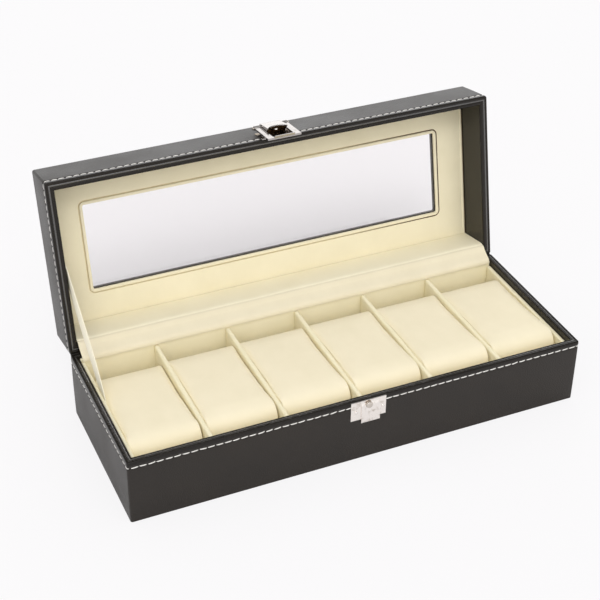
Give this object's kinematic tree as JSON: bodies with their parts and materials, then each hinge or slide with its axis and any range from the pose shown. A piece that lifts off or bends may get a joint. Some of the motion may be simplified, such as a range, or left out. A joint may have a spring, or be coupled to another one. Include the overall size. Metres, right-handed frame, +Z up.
{
  "type": "watch box",
  "caption": "Oblong box covered in black leather with a windowed lid on a cloth hinge, a sprung latch, and a row of cushioned compartments for wrist watches.",
  "frame": {"origin": "centre of the base's underside", "axes": "+X along the length, +Y towards the hinge at the back, +Z up"},
  "size_m": [0.3, 0.1687, 0.1611],
  "materials": {
    "leather": "black grained leathercloth, satin",
    "lining": "cream brushed cloth over card",
    "pillow": "cream brushed cloth over foam",
    "ribbon": "cream woven ribbon",
    "felt": "black felt paper",
    "board": "plain fibreboard",
    "glass": "clear sheet glass",
    "steel": "nickel plated steel"
  },
  "bodies": {
    "base": {"base_felt": "felt", "base_bottom_board": "board", "base_front_board": "board", "base_back_board": "board", "base_left_board": "board", "base_right_board": "board", "base_leather": "leather", "hinge_leather": "leather", "floor_card": "lining", "front_liner": "lining", "back_liner": "lining", "left_liner": "lining", "right_liner": "lining", "divider_1": "lining", "divider_2": "lining", "divider_3": "lining", "divider_4": "lining", "divider_5": "lining", "hinge_lining": "lining", "ribbon_stay": "ribbon", "keeper_plate": "steel", "keeper_stud": "steel", "keeper_nails": "steel"},
    "lid": {"lid_front_board": "board", "lid_back_board": "board", "lid_left_board": "board", "lid_right_board": "board", "lid_leather": "leather", "lid_back_lining": "lining", "top_board": "board", "top_leather": "leather", "window_glass": "glass", "window_mat": "lining", "latch_plate": "steel", "latch_nails": "steel", "latch_pin": "steel", "latch_spring": "steel"},
    "latch_bail": {"latch_bail": "steel"},
    "pillow_1": {"pillow_1": "pillow"},
    "pillow_2": {"pillow_2": "pillow"},
    "pillow_3": {"pillow_3": "pillow"},
    "pillow_4": {"pillow_4": "pillow"},
    "pillow_5": {"pillow_5": "pillow"},
    "pillow_6": {"pillow_6": "pillow"}
  },
  "joints": [
    {"name": "lid_hinge", "type": "hinge", "parent": "base", "child": "lid", "pos_m": [0, 0.056, 0.0455], "axis": [-1, 0, 0], "range_deg": [-102, 0], "deforming": ["hinge_leather", "hinge_lining", "ribbon_stay"]},
    {"name": "bail_hinge", "type": "hinge", "parent": "lid", "child": "latch_bail", "pos_m": [0.0015, 0.09496, 0.15571], "axis": [-1, 0, 0], "range_deg": [0, 100], "deforming": ["latch_spring"]},
    {"name": "pillow_1_lift", "type": "slide", "parent": "base", "child": "pillow_1", "axis": [0, 0, 1], "range_m": [0, 0.06]},
    {"name": "pillow_2_lift", "type": "slide", "parent": "base", "child": "pillow_2", "axis": [0, 0, 1], "range_m": [0, 0.06]},
    {"name": "pillow_3_lift", "type": "slide", "parent": "base", "child": "pillow_3", "axis": [0, 0, 1], "range_m": [0, 0.06]},
    {"name": "pillow_4_lift", "type": "slide", "parent": "base", "child": "pillow_4", "axis": [0, 0, 1], "range_m": [0, 0.06]},
    {"name": "pillow_5_lift", "type": "slide", "parent": "base", "child": "pillow_5", "axis": [0, 0, 1], "range_m": [0, 0.06]},
    {"name": "pillow_6_lift", "type": "slide", "parent": "base", "child": "pillow_6", "axis": [0, 0, 1], "range_m": [0, 0.06]}
  ]
}
